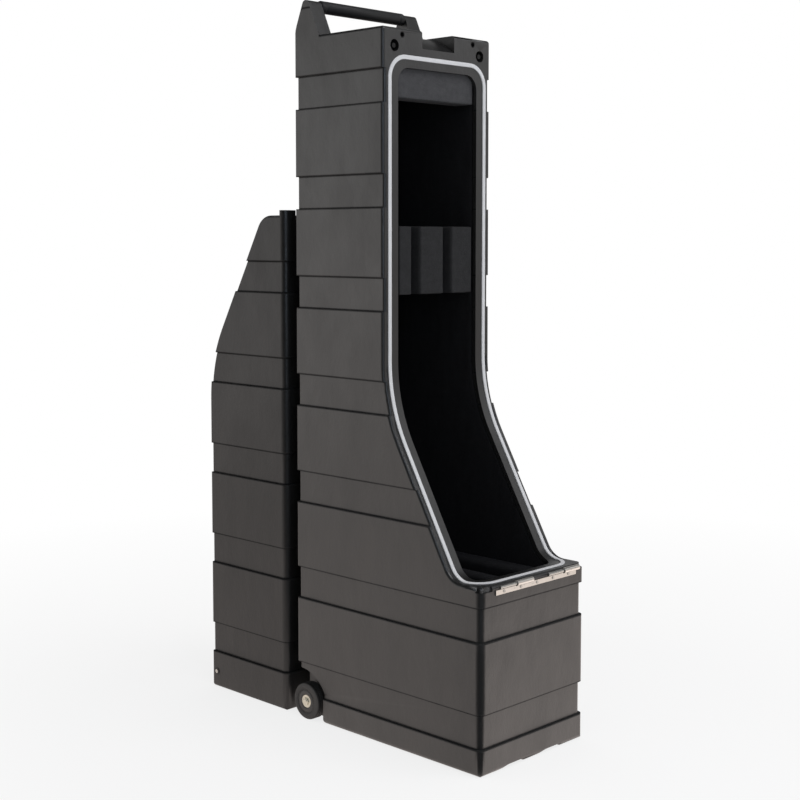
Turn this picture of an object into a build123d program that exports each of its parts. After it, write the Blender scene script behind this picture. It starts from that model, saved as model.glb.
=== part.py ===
from build123d import *
import math
import os

# Double electric guitar case, roto-moulded, standing upright with its lid lifted off its hinge.
# Millimetres, +Z up, front towards -Y. The origin is the centre of the case's footprint on the floor.
# The lid stands on the floor behind the case, turned over about the front-to-back direction.

# Case outer sizes
WIDTH = 296.0
DEPTH = 484.0
HEIGHT = 1328.0
NECK_DEPTH = 243.0
BASE_HEIGHT = 337.0
LEDGE_DEPTH = 71.0
KNEE_HEIGHT = 637.0
KNEE_R = 300.0
TOE_R = 42.0
CORNER_R = 14.0
REAR_CORNER_R = 9.0
EDGE_R = 6.0
FOOT_R = 9.0
WALL = 6.0
FLANGE_T = 8.0
FLOOR_T = 12.0

# Moulded bands round the shells
BAND_STEP = 4.5
BAND_FIRST = 48.0
BAND_RECESS = 62.0
BAND_PITCH = 190.5

# Seam between case and lid, and where the lid stands
SEAM = 1.5
LID_GAP = 30.0
LIP_HEIGHT = 10.0
LIP_T = 5.0
LIP_WIDTH = 30.0
LIP_CLEAR = 0.5
LIP_ROOT = 8.0
LIP_RETURN = 14.0

# Gasket and the opening in the rim
GASKET_MARGIN = 18.0
GASKET_TOP_MARGIN = 52.0
GASKET_W = 8.0
GASKET_DEPTH = 3.0
GASKET_PROUD = 2.0
GASKET_R = 40.0
OPEN_MARGIN = 40.0
OPEN_TOP_MARGIN = 71.0
OPEN_R = 28.0
RING_JOIN_RISE = 121.0

# Finger pocket in the middle of the top front edge
POCKET_W = 88.0
POCKET_DEPTH = 80.0
POCKET_DROP = 33.0
POCKET_MID_DEPTH = 24.0
POCKET_MID_DROP = 17.0

# Handle across the rear of the top
CHEEK_T = 34.0
CHEEK_BASE = 72.0
CHEEK_APEX_R = 9.5
CHEEK_ROOT = 24.0
GRIP_SETBACK = 35.0
GRIP_RISE = 59.0
GRIP_D = 24.0
GRIP_END_GAP = 0.5
ROD_D = 10.0
ROD_CLEAR = 0.1
ROD_END_WALL = 8.0

# Wheels, axle and wheel wells
WHEEL_D = 72.0
WHEEL_W = 24.0
WHEEL_SETBACK = 34.0
WHEEL_PROUD = 6.0
TYRE_EDGE_R = 4.0
HUB_D = 46.0
HUB_DISH = 3.0
AXLE_D = 10.0
AXLE_RUN = 0.05
AXLE_SIT = 0.1
WELL_R = 76.0
WELL_SETBACK = 10.0
WELL_CENTRE_Z = 21.0
WELL_LENGTH = 77.0
WELL_WIDTH = 31.0
WASHER_D = 25.0
WASHER_T = 1.6
SIDE_PLAY = 0.3
AXLE_NUT_D = 15.0
AXLE_NUT_T = 4.0
SPACER_D = 18.0
AXLE_SLOT_HALF = 11.0
AXLE_SLOT_TOP = 12.0

# Shallow channels under the base: a long ramp on the left, a steep wall on the right
CHANNEL_W = 74.0
CHANNEL_DEPTH = 6.5
CHANNEL_RAMP = 26.0
CHANNEL_RAMP_R = 30.0
CHANNEL_LEFT = (-97.0, 8.0)

# Slip hinge on the front edge of the base
HINGE_LEFT = -110.0
HINGE_LENGTH = 228.0
SEGMENT = 44.0
SEGMENT_FIRST = -104.0
SEGMENT_GAP = 1.0
SEGMENT_PAIR = 135.0
BARREL_D = 10.0
BARREL_OFF = 0.5
HINGE_PIN_D = 6.0
HINGE_PIN_CLEAR = 0.25
LEAF_T = 2.0
LEAF_REACH = 14.0
LEAF_CLEAR = 0.3
HINGE_AXIS_DROP = 4.0
HINGE_SCREW_COUNT = 5
SCREW_D = 3.0
SCREW_HEAD_D = 5.6
SCREW_HEAD_T = 0.8
HINGE_SCREW_LEN = 7.0

# Foam inside the case
LINER_T = 20.0
HEADER_HEIGHT = 72.0
HEADER_DEPTH = 45.0
FOAM_TOP_GAP = 2.0
CRADLE_DROP = 489.0
CRADLE_MARGIN = 8.0
CRADLE_HEIGHT = 128.0
CRADLE_SETBACK = 4.0
NECK_SLOT_W = 24.0
NECK_SLOT_X = (-56.0, 31.0)
NECK_SLOT_DEPTH = 120.0
BODY_FOAM_DROP = 14.0
BODY_FLOOR_Z = 80.0
BODY_SLOT_W = 52.0
BODY_SLOT_MARGIN = 24.0
WELL_FOAM_GAP = 6.0

# Foam inside the lid
LID_FOAM_RISE = 8.0
LID_PAD_RISE = 46.0
LID_PAD_HEIGHT = 220.0
LID_PAD_SETBACK = 14.0

# Latch and dowels in the top corners
LATCH_INSET = 31.0
LATCH_DROP = 33.0
RECESS_D = 22.0
RECESS_DEPTH = 15.0
STUD_BASE_D = 12.0
STUD_BASE_T = 4.0
STUD_NECK_D = 4.5
STUD_HEAD_D = 9.0
STUD_HEAD_T = 3.0
STUD_SINK = 2.0
DOWEL_INSET = 51.0
DOWEL_DROP = 12.0
DOWEL_D = 8.0
DOWEL_CLEAR = 0.5
DOWEL_BUSH_D = 12.0
DOWEL_BUSH_LEN = 16.0
DOWEL_REACH = 12.0
DOWEL_NOSE = 2.0
CORNER_BOSS_W = 66.0
CORNER_BOSS_DROP = 52.0
CORNER_BOSS_T = 20.0

# Hook, button and bracket of one latch
HOOK_T = 4.0
HOOK_BAR = 6.0
HOOK_NOSE = 2.6
HOOK_GRIP = 1.9
HOOK_CLEAR = 0.4
HOOK_CATCH_T = 3.0
HOOK_EYE_D = 11.0
PIVOT_DEPTH = 46.0
PIVOT_D = 4.0
PIVOT_RUN = 0.05
BUTTON_DEPTH = 17.0
BUTTON_D = 8.0
BUTTON_RUN = 0.1
BUTTON_PROUD = 1.6
BUTTON_TRAVEL = 1.5
BUTTON_TIP_GAP = 0.4
BUTTON_WAY = 0.6
BUTTON_COLLAR_D = 13.0
BUTTON_COLLAR_T = 4.0
BUSH_D = 11.0
BUSH_FLANGE_D = 15.0
BUSH_FLANGE_T = 0.8
BRACKET_T = 2.0
BRACKET_PLAY = 0.3
BRACKET_WEB_GAP = 8.0
BRACKET_OUT = 8.0
BRACKET_TAIL = 8.0
FOOT_HALF_Z = 15.0
FOOT_X1 = 12.0
FOOT_SCREW_Z = 10.0
FOOT_SCREW_LEN = 10.0
SLOT_PLAY = 1.0

FRONT = -DEPTH / 2
REAR = DEPTH / 2
RIM_Y = REAR - NECK_DEPTH
TOE_Y = FRONT + LEDGE_DEPTH
HALF = WIDTH / 2
LID_SHIFT = DEPTH + LID_GAP
AXLE_Y = REAR - WHEEL_SETBACK
AXLE_Z = WHEEL_D / 2
LATCH_X = HALF - LATCH_INSET
LATCH_Z = HEIGHT - LATCH_DROP
DOWEL_X = HALF - DOWEL_INSET
DOWEL_Z = HEIGHT - DOWEL_DROP
GRIP_Y = REAR - GRIP_SETBACK
GRIP_Z = HEIGHT + GRIP_RISE
OPEN_X = HALF - OPEN_MARGIN
OPEN_TOP = HEIGHT - OPEN_TOP_MARGIN
THICK = WALL + BAND_STEP
FOAM_TOP = HEIGHT - CORNER_BOSS_DROP - FOAM_TOP_GAP
HEADER_Z0 = FOAM_TOP - HEADER_HEIGHT
CRADLE_Z0 = HEIGHT - CRADLE_DROP
LID_PAD_Z0 = BASE_HEIGHT + LID_PAD_RISE
RING_JOIN_Z = BASE_HEIGHT + RING_JOIN_RISE
SIDE_FOAM_Z0 = WELL_CENTRE_Z + WELL_R + WALL + WELL_FOAM_GAP
LID_FLANGE_Y = RIM_Y - SEAM - FLANGE_T
BARREL_Y = FRONT - BARREL_OFF - BARREL_D / 2
BARREL_Z = BASE_HEIGHT + SEAM / 2 - HINGE_AXIS_DROP
HOOK_X = LATCH_X - STUD_HEAD_D / 2 - HOOK_CLEAR - HOOK_NOSE / 2
PIVOT_Y = RIM_Y - PIVOT_DEPTH
BUTTON_Y = RIM_Y - BUTTON_DEPTH
FAR = 3000.0


def box(x0, x1, y0, y1, z0, z1):
    size = (abs(x1 - x0), abs(y1 - y0), abs(z1 - z0))
    middle = ((x0 + x1) / 2, (y0 + y1) / 2, (z0 + z1) / 2)
    return Pos(*middle) * Box(*size)


def rod_x(x0, x1, y, z, d):
    return Pos((x0 + x1) / 2, y, z) * Rot(0, 90, 0) * Cylinder(d / 2, abs(x1 - x0))


def rod_y(y0, y1, x, z, d):
    return Pos(x, (y0 + y1) / 2, z) * Rot(90, 0, 0) * Cylinder(d / 2, abs(y1 - y0))


def save(node, shape):
    export_step(shape, "parts/" + node + ".step")


def mirrored(shape):
    return mirror(shape, about=Plane.YZ)


def pair(shape):
    return Compound(children=[shape, mirrored(shape)])


def rim_points(d):
    # The rim line in the side view, moved outwards (towards the lid) by d: ledge, slant, front
    run = RIM_Y - TOE_Y
    rise = KNEE_HEIGHT - BASE_HEIGHT
    length = math.hypot(run, rise)
    uy = run / length
    uz = rise / length
    toe_y = TOE_Y - d * uz + d * (1 - uy) * uy / uz
    knee_z = KNEE_HEIGHT + d * uy - d * (1 - uz) * uz / uy
    return (toe_y, BASE_HEIGHT + d), (RIM_Y - d, knee_z)


def nearest(face, point):
    return face.vertices().sort_by_distance(Vector(point[0], point[1], 0))[0]


def case_side(d, front, rear, bottom, top):
    # Side view of what lies behind the rim line moved by d
    toe, knee = rim_points(d)
    outline = [(front, bottom), (front, toe[1]), toe, knee, (knee[0], top), (rear, top), (rear, bottom)]
    face = make_face(Polyline(*outline, close=True))
    face = fillet(nearest(face, toe), TOE_R - d)
    return fillet(nearest(face, knee), KNEE_R + d)


def lid_side(d, front, top):
    # Side view of what lies in front of the rim line moved by d
    toe, knee = rim_points(d)
    outline = [(front, toe[1]), toe, knee, (knee[0], top), (front, top)]
    face = make_face(Polyline(*outline, close=True))
    face = fillet(nearest(face, toe), TOE_R - d)
    return fillet(nearest(face, knee), KNEE_R + d)


def solid_of(face, half_width):
    return extrude(Plane.YZ * face, amount=half_width, both=True)


def plan_prism(inset, radius):
    # Plan of the shells: wide front corners of the given radius, sharper rear ones
    plan = Rectangle(WIDTH - 2 * inset, DEPTH - 2 * inset)
    corners = plan.vertices().sort_by(Axis.Y)
    plan = fillet(corners[:2], radius)
    rear = plan.vertices().sort_by(Axis.Y)[-2:]
    plan = fillet(rear, radius - CORNER_R + REAR_CORNER_R)
    return extrude(plan, amount=HEIGHT + LIP_HEIGHT)


def rounded_blank(side_face, inset, soft_edge, foot_radius=0):
    # The extruded side view, its rim and top edges rounded, inside the rounded plan
    half = HALF - inset
    blank = solid_of(side_face, half)
    edges = [e for e in blank.edges() if soft_edge(e.center(), half)]
    blank = fillet(edges, EDGE_R)
    if foot_radius:
        blank = fillet(blank.faces().sort_by(Axis.Z)[0].edges(), foot_radius)
    return blank & plan_prism(inset, CORNER_R - inset / 2)


def bands(z_low, z_high):
    # Height ranges of the recessed bands between two heights
    found = []
    z = BAND_FIRST
    while z < z_high:
        if z + BAND_RECESS > z_low:
            found.append((max(z, z_low), min(z + BAND_RECESS, z_high)))
        z += BAND_PITCH
    return found


def band_slabs(ranges, grow):
    return [box(-FAR / 4, FAR / 4, -FAR / 4, FAR / 4, a - grow, b + grow) for a, b in ranges]


def banded(full, inset_solid, ranges, grow):
    slabs = band_slabs(ranges, grow)
    return (full - slabs) + (inset_solid & Part() + slabs)


def ring_xz(half_x, top, radius):
    # Upright rounded outline seen from the front, down to where the two rings join
    low = RING_JOIN_Z - 2 * radius
    shape = RectangleRounded(2 * half_x, top - low, radius)
    prism = extrude(Plane.XZ * Pos(0, (top + low) / 2) * shape, amount=DEPTH, both=True)
    return prism & box(-HALF, HALF, -DEPTH, DEPTH, RING_JOIN_Z, HEIGHT)


def ring_xy(half_x, front, radius):
    # The same outline seen from above, for the ledge and the lower part of the slant
    back = DEPTH
    shape = RectangleRounded(2 * half_x, back - front, radius)
    return extrude(Pos(0, (back + front) / 2) * shape, amount=RING_JOIN_Z)


def rim_prism(margin, top_margin, radius):
    half_x = HALF - margin
    upper = ring_xz(half_x, HEIGHT - top_margin, radius)
    return upper + ring_xy(half_x, FRONT + margin, radius)


def gasket_ring():
    half = GASKET_W / 2
    outer = rim_prism(GASKET_MARGIN - half, GASKET_TOP_MARGIN - half, GASKET_R + half)
    inner = rim_prism(GASKET_MARGIN + half, GASKET_TOP_MARGIN + half, GASKET_R - half)
    return outer - inner


def rim_layer(low, high):
    outer = solid_of(case_side(high, -DEPTH, REAR, -10, HEIGHT + 10), HALF)
    inner = solid_of(case_side(low, -2 * DEPTH, DEPTH, -20, HEIGHT + 20), HALF + 10)
    return outer - inner


def rim_gasket():
    return rim_layer(-GASKET_DEPTH, GASKET_PROUD) & gasket_ring()


def opening_prism():
    return rim_prism(OPEN_MARGIN, OPEN_TOP_MARGIN, OPEN_R)


def soft_case_edge(c, half):
    at_side = abs(abs(c.X) - half) < 0.01
    on_rim_or_top = c.Z > BASE_HEIGHT - 0.01 and c.Y < REAR - 0.01
    across = abs(c.X) < 0.01 and c.Z > BASE_HEIGHT - 0.01
    smooth = across and FRONT + 0.01 < c.Y < RIM_Y - 0.01
    return (at_side and on_rim_or_top) or (across and not smooth)


def case_outer():
    side = case_side(0, FRONT, REAR, 0, HEIGHT)
    full = rounded_blank(side, 0, soft_case_edge, FOOT_R)
    thin = rounded_blank(side, BAND_STEP, soft_case_edge)
    return banded(full, thin, bands(0, HEIGHT), 0)


def corner_lip(grow):
    # Short lips that follow the two front corners, below the lid's hinge end
    outer = plan_prism(-grow, CORNER_R + grow)
    ring = outer - plan_prism(LIP_T + grow, CORNER_R - LIP_T)
    low = BASE_HEIGHT + SEAM - LIP_HEIGHT - grow
    high = BASE_HEIGHT + SEAM + LIP_ROOT
    x0 = HALF - LIP_WIDTH - grow
    corner = box(x0, HALF + 5, FRONT - 5, FRONT + LIP_RETURN + grow, low, high)
    one = ring & corner
    return [one, mirrored(one)]


def case_cavity():
    deep = case_side(-FLANGE_T, FRONT + WALL, REAR - WALL, FLOOR_T, HEIGHT - WALL)
    inset = WALL + BAND_STEP
    full = solid_of(deep, HALF - WALL) & plan_prism(WALL, CORNER_R - WALL)
    thin = solid_of(deep, HALF - inset) & plan_prism(inset, CORNER_R - WALL)
    return banded(full, thin, bands(0, HEIGHT), WALL)


def pocket_cut(grow):
    # Scooped finger pocket, open upwards and forwards
    low = HEIGHT - POCKET_DROP - grow
    mid = (RIM_Y + POCKET_MID_DEPTH, HEIGHT - POCKET_MID_DROP - grow)
    end = (RIM_Y + POCKET_DEPTH + grow, HEIGHT + 0.5)
    start = (RIM_Y - 30, low)
    floor = Line(start, (RIM_Y, low)) + ThreePointArc((RIM_Y, low), mid, end)
    rest = Polyline(end, (end[0], HEIGHT + 40), (start[0], HEIGHT + 40), start)
    face = make_face(floor + rest)
    return extrude(Plane.YZ * face, amount=POCKET_W / 2 + grow, both=True)


def well_cut(grow):
    # Wheel well at the rear bottom corner, right side, with an upright front wall
    arc = rod_x(HALF - WELL_WIDTH - grow, HALF + 20, REAR - WELL_SETBACK, WELL_CENTRE_Z,
                2 * (WELL_R + grow))
    return arc & box(0, WIDTH, REAR - WELL_LENGTH - grow, DEPTH, -10, HEIGHT / 2)


def well_foot_cut():
    # Rounds the bottom of the well's front wall, as the rest of the foot is
    wall_y = REAR - WELL_LENGTH
    corner = box(HALF - WELL_WIDTH, HALF + 20, wall_y - FOOT_R, wall_y + 1, -1, FOOT_R)
    return corner - rod_x(0, WIDTH, wall_y - FOOT_R, FOOT_R, 2 * FOOT_R)


def channel_cut(left):
    # One channel under the base, seen from the front: ramp, flat top and steep right wall
    flat = left + CHANNEL_RAMP
    right = left + CHANNEL_W
    top = CHANNEL_DEPTH
    start = left - CHANNEL_RAMP
    outline = [(start, -1), (start, 0), (left, 0), (flat, top), (right, top), (right, -1)]
    face = make_face(Polyline(*outline, close=True))
    face = fillet([nearest(face, (left, 0)), nearest(face, (flat, top))], CHANNEL_RAMP_R)
    return extrude(Plane.XZ * face, amount=DEPTH, both=True)


def axle_slot(grow):
    reach = HALF - WELL_WIDTH - WALL + grow
    half = AXLE_SLOT_HALF + grow
    return box(-reach, reach, AXLE_Y - half, AXLE_Y + half, -10, AXLE_Z + AXLE_SLOT_TOP + grow)


def cheek():
    # One handle cheek: a rounded apex round the rod and a wide foot flush with side and rear
    foot = (REAR - CHEEK_BASE, REAR)
    apex = Pos(GRIP_Y, GRIP_Z) * Circle(CHEEK_APEX_R)
    base = Pos((foot[0] + foot[1]) / 2, HEIGHT - CHEEK_ROOT / 2) * Rectangle(CHEEK_BASE, CHEEK_ROOT)
    face = make_hull(apex.edges() + base.edges())
    block = extrude(Plane.YZ * face, amount=CHEEK_T)
    block = Pos(HALF - CHEEK_T, 0, 0) * block
    return block & (Pos(0, 0, HEIGHT / 2) * plan_prism(0, CORNER_R))


def corner_boss():
    return box(HALF - CORNER_BOSS_W, HALF - WALL / 2, RIM_Y, RIM_Y + CORNER_BOSS_T,
               HEIGHT - CORNER_BOSS_DROP, HEIGHT - WALL / 2)


def hinge_starts():
    return [SEGMENT_FIRST, SEGMENT_FIRST + SEGMENT_PAIR]


def hinge_screw_places():
    # Middles of the leaf screws, spread evenly along the leaf
    step = HINGE_LENGTH / HINGE_SCREW_COUNT
    return [HINGE_LEFT + step * (i + 0.5) for i in range(HINGE_SCREW_COUNT)]


def leaf_mid(side):
    # Height of the screw line of a leaf, side -1 for the case and +1 for the lid
    near = BARREL_D / 2 + LEAF_CLEAR
    return BARREL_Z + side * (near + LEAF_REACH) / 2


def hinge_screws(side):
    z = leaf_mid(side)
    screws = []
    for x in hinge_screw_places():
        head = rod_y(FRONT - LEAF_T - SCREW_HEAD_T, FRONT - LEAF_T, x, z, SCREW_HEAD_D)
        shank = rod_y(FRONT - LEAF_T, FRONT - LEAF_T + HINGE_SCREW_LEN, x, z, SCREW_D)
        screws.append(head + shank)
    return screws


def hinge_half(side, knuckles, bore):
    # A leaf on the shell's face with knuckles on the hinge axis
    near = BARREL_Z + side * (BARREL_D / 2 + LEAF_CLEAR)
    far = BARREL_Z + side * LEAF_REACH
    right = HINGE_LEFT + HINGE_LENGTH
    half = box(HINGE_LEFT, right, FRONT - LEAF_T, FRONT, near, far)
    for x0, x1 in knuckles:
        barrel = rod_x(x0, x1, BARREL_Y, BARREL_Z, BARREL_D)
        tab = box(x0, min(x1, right), FRONT - LEAF_T, FRONT, BARREL_Z, near)
        half = half + barrel + tab
    holes = [rod_x(x0 - 1, x1 + 1, BARREL_Y, BARREL_Z, bore) for x0, x1 in knuckles]
    return half - holes - hinge_screws(side)


def case_knuckles():
    step = SEGMENT + SEGMENT_GAP
    return [(x + step, x + step + SEGMENT) for x in hinge_starts()]


def lid_knuckles():
    return [(x, x + SEGMENT - SEGMENT_GAP) for x in hinge_starts()]


def hinge_pins():
    ends = case_knuckles()
    return [rod_x(start, end[1], BARREL_Y, BARREL_Z, HINGE_PIN_D)
            for start, end in zip(hinge_starts(), ends)]


def build_case_shell():
    outer = case_outer()
    boss = corner_boss()
    well = well_cut(WALL)
    keep = [boss, mirrored(boss), pocket_cut(WALL), well, mirrored(well), axle_slot(WALL)]
    cavity = case_cavity() - keep
    mouth = (opening_prism() & rim_layer(-FLANGE_T - 2, 1)) - box(-HALF, HALF, FRONT - 1, REAR, -10,
                                                                    FLOOR_T)
    shell = outer - cavity - mouth
    shell = shell + [cheek(), mirrored(cheek())]
    reach = HALF - ROD_END_WALL
    rod_hole = rod_x(-reach, reach, GRIP_Y, GRIP_Z, ROD_D + ROD_CLEAR)
    axle_hole = rod_x(-HALF, HALF, AXLE_Y, AXLE_Z, AXLE_D + AXLE_SIT)
    cuts = [rim_layer(-GASKET_DEPTH, 5) & gasket_ring(), pocket_cut(0), well_cut(0)]
    cuts += [mirrored(well_cut(0)), axle_slot(0), rod_hole, axle_hole] + corner_lip(LIP_CLEAR)
    cuts += [well_foot_cut(), mirrored(well_foot_cut())] + [channel_cut(x) for x in CHANNEL_LEFT]
    for x in (-LATCH_X, LATCH_X):
        cuts.append(rod_y(RIM_Y - 1, RIM_Y + RECESS_DEPTH, x, LATCH_Z, RECESS_D))
    for x in (-DOWEL_X, DOWEL_X):
        cuts.append(rod_y(RIM_Y - 1, RIM_Y + DOWEL_BUSH_LEN, x, DOWEL_Z, DOWEL_BUSH_D))
    return shell - cuts - hinge_screws(-1)


def handle_grip():
    reach = HALF - CHEEK_T - GRIP_END_GAP
    sleeve = rod_x(-reach, reach, GRIP_Y, GRIP_Z, GRIP_D)
    return sleeve - rod_x(-HALF, HALF, GRIP_Y, GRIP_Z, ROD_D)


def handle_rod():
    reach = HALF - ROD_END_WALL
    return rod_x(-reach, reach, GRIP_Y, GRIP_Z, ROD_D)


def lining_prism():
    # Plan of the lining foams, rounded as the shell is inside its recessed bands
    return plan_prism(THICK, CORNER_R - WALL)


def back_foam():
    y1 = REAR - THICK
    slab = box(-HALF, HALF, y1 - LINER_T, y1, BASE_HEIGHT - BODY_FOAM_DROP, FOAM_TOP)
    return slab & lining_prism()


def side_foam():
    # Right side lining, as deep as the case is at each height
    side = case_side(-FLANGE_T, FRONT + THICK, REAR - THICK - LINER_T, SIDE_FOAM_Z0, FOAM_TOP)
    return solid_of(side, HALF - THICK) & box(OPEN_X, HALF, -DEPTH, DEPTH, 0, HEIGHT) & lining_prism()


def header_foam():
    y0 = RIM_Y + FLANGE_T
    return box(-OPEN_X, OPEN_X, y0, y0 + HEADER_DEPTH, HEADER_Z0, FOAM_TOP)


def neck_cradle():
    y0 = RIM_Y + CRADLE_SETBACK
    half_x = OPEN_X - CRADLE_MARGIN
    block = box(-half_x, half_x, y0, REAR - THICK - LINER_T, CRADLE_Z0, CRADLE_Z0 + CRADLE_HEIGHT)
    half = NECK_SLOT_W / 2
    slots = [box(x - half, x + half, y0 - 1, y0 + NECK_SLOT_DEPTH, 0, HEIGHT) for x in NECK_SLOT_X]
    return block - slots


def body_cradle():
    y0 = FRONT + THICK
    y1 = REAR - THICK - LINER_T
    block = box(-OPEN_X, OPEN_X, y0, y1, FLOOR_T, BASE_HEIGHT - BODY_FOAM_DROP)
    half = BODY_SLOT_W / 2
    slots = [box(x - half, x + half, y0 + BODY_SLOT_MARGIN, y1 - BODY_SLOT_MARGIN, BODY_FLOOR_Z, HEIGHT)
             for x in NECK_SLOT_X]
    return block - slots - axle_slot(WALL)


def striker_stud(x):
    back = RIM_Y + RECESS_DEPTH
    front = RIM_Y + STUD_SINK
    base = rod_y(back - STUD_BASE_T, back, x, LATCH_Z, STUD_BASE_D)
    neck = rod_y(front, back, x, LATCH_Z, STUD_NECK_D)
    head = rod_y(front, front + STUD_HEAD_T, x, LATCH_Z, STUD_HEAD_D)
    return base + neck + head


def dowel_bush(x):
    bush = rod_y(RIM_Y, RIM_Y + DOWEL_BUSH_LEN, x, DOWEL_Z, DOWEL_BUSH_D)
    return bush - rod_y(RIM_Y - 1, RIM_Y + DOWEL_BUSH_LEN - 1, x, DOWEL_Z, DOWEL_D + 2 * DOWEL_CLEAR)


def wheel_faces():
    # Outer and inner face of the right wheel's tyre
    outer = HALF + WHEEL_PROUD
    return outer, outer - WHEEL_W


def tyre():
    outer, inner = wheel_faces()
    ring = rod_x(inner, outer, AXLE_Y, AXLE_Z, WHEEL_D) - rod_x(0, WIDTH, AXLE_Y, AXLE_Z, HUB_D)
    rims = [e for e in ring.edges() if e.length > math.pi * (HUB_D + WHEEL_D) / 2]
    return fillet(rims, TYRE_EDGE_R)


def hub():
    outer, inner = wheel_faces()
    disc = rod_x(inner, outer - HUB_DISH, AXLE_Y, AXLE_Z, HUB_D)
    return disc - rod_x(0, WIDTH, AXLE_Y, AXLE_Z, AXLE_D + 2 * AXLE_RUN)


def washer_span():
    start = wheel_faces()[0] - HUB_DISH + SIDE_PLAY
    return start, start + WASHER_T


def axle():
    reach = washer_span()[1]
    return rod_x(-reach, reach, AXLE_Y, AXLE_Z, AXLE_D)


def washer():
    x0, x1 = washer_span()
    disc = rod_x(x0, x1, AXLE_Y, AXLE_Z, WASHER_D)
    return disc - rod_x(0, WIDTH, AXLE_Y, AXLE_Z, AXLE_D)


def axle_nut():
    x0 = washer_span()[1]
    return rod_x(x0, x0 + AXLE_NUT_T, AXLE_Y, AXLE_Z, AXLE_NUT_D)


def spacer():
    x0 = HALF - WELL_WIDTH
    ring = rod_x(x0, wheel_faces()[1] - SIDE_PLAY, AXLE_Y, AXLE_Z, SPACER_D)
    return ring - rod_x(0, WIDTH, AXLE_Y, AXLE_Z, AXLE_D)


def lid_outer():
    side = lid_side(SEAM, FRONT, HEIGHT)
    full = rounded_blank(side, 0, soft_lid_edge)
    thin = rounded_blank(side, BAND_STEP, soft_lid_edge)
    return banded(full, thin, bands(BASE_HEIGHT, HEIGHT), 0)


def soft_lid_edge(c, half):
    at_side = abs(abs(c.X) - half) < 0.01 and c.Y > FRONT + 0.01
    low = BASE_HEIGHT + SEAM + 0.01
    end = c.Z < low or c.Z > HEIGHT - 0.01
    return at_side or (abs(c.X) < 0.01 and end)


def lid_cavity():
    deep = lid_side(SEAM + FLANGE_T, FRONT + WALL, HEIGHT - WALL)
    full = solid_of(deep, HALF - WALL) & plan_prism(WALL, CORNER_R - WALL)
    thin = solid_of(deep, HALF - THICK) & plan_prism(THICK, CORNER_R - WALL)
    return banded(full, thin, bands(BASE_HEIGHT, HEIGHT), WALL)


def lid_shell():
    mouth = opening_prism() & rim_layer(SEAM - 1, SEAM + FLANGE_T + 2)
    mouth = mouth & box(-HALF, HALF, -DEPTH, DEPTH, BASE_HEIGHT + SEAM - 1, HEIGHT)
    shell = lid_outer() - lid_cavity() - mouth + corner_lip(0)
    cuts = hinge_screws(1)
    reach = HOOK_NOSE / 2 + HOOK_GRIP + SLOT_PLAY
    play = HOOK_T / 2 + SLOT_PLAY
    swing = BUTTON_TRAVEL * PIVOT_DEPTH / (PIVOT_DEPTH - BUTTON_DEPTH)
    slot = box(HOOK_X - HOOK_BAR / 2 - swing - SLOT_PLAY, HOOK_X + reach + SLOT_PLAY,
               LID_FLANGE_Y - 1, RIM_Y, LATCH_Z - play, LATCH_Z + play)
    one = [slot, dowel(DOWEL_X), rod_x(HALF - THICK - 1, HALF + 1, BUTTON_Y, LATCH_Z, BUSH_D)]
    one = one + latch_screws()
    return shell - cuts - one - [mirrored(c) for c in one]


def lid_front_foam():
    y0 = FRONT + THICK
    z0 = BASE_HEIGHT + SEAM + FLANGE_T + LID_FOAM_RISE
    return box(-HALF, HALF, y0, y0 + LINER_T, z0, FOAM_TOP) & lining_prism()


def lid_foam_space(x0, x1, setback, z0, z1):
    side = lid_side(SEAM + FLANGE_T + setback, FRONT + THICK + LINER_T, HEIGHT - WALL)
    return solid_of(side, HALF) & box(x0, x1, -DEPTH, DEPTH, z0, z1)


def lid_side_foam():
    z0 = BASE_HEIGHT + SEAM + FLANGE_T + LID_FOAM_RISE
    return lid_foam_space(OPEN_X, HALF - THICK, 0, z0, FOAM_TOP)


def lid_block(setback, z0, z1):
    return box(-OPEN_X, OPEN_X, FRONT + THICK + LINER_T, RIM_Y - SEAM - setback, z0, z1)


def lid_body_pad():
    return lid_foam_space(-OPEN_X, OPEN_X, LID_PAD_SETBACK, LID_PAD_Z0, LID_PAD_Z0 + LID_PAD_HEIGHT)


def dowel(x):
    tip = RIM_Y + DOWEL_REACH
    pin = rod_y(LID_FLANGE_Y, tip, x, DOWEL_Z, DOWEL_D)
    ends = [e for e in pin.edges() if abs(e.center().Y - tip) < 0.01]
    return chamfer(ends, DOWEL_NOSE)


def hook():
    # Flat lever: an eye on the pivot, a bar, a narrow nose and a catch behind the stud's head
    catch_y = RIM_Y + STUD_SINK + STUD_HEAD_T + HOOK_CLEAR
    tip_y = catch_y + HOOK_CATCH_T
    low = LATCH_Z - HOOK_T / 2
    high = LATCH_Z + HOOK_T / 2
    eye = Pos(HOOK_X, PIVOT_Y, LATCH_Z) * Cylinder(HOOK_EYE_D / 2, HOOK_T)
    bar = box(HOOK_X - HOOK_BAR / 2, HOOK_X + HOOK_BAR / 2, PIVOT_Y, LID_FLANGE_Y - 1, low, high)
    nose_x = HOOK_X + HOOK_NOSE / 2
    nose = box(HOOK_X - HOOK_NOSE / 2, nose_x, LID_FLANGE_Y - 2, tip_y, low, high)
    catch = box(nose_x - 1, nose_x + HOOK_CLEAR + HOOK_GRIP, catch_y, tip_y, low, high)
    hole = Pos(HOOK_X, PIVOT_Y, LATCH_Z) * Cylinder(PIVOT_D / 2 + PIVOT_RUN, HOOK_T * 2)
    return eye + bar + nose + catch - hole


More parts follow.
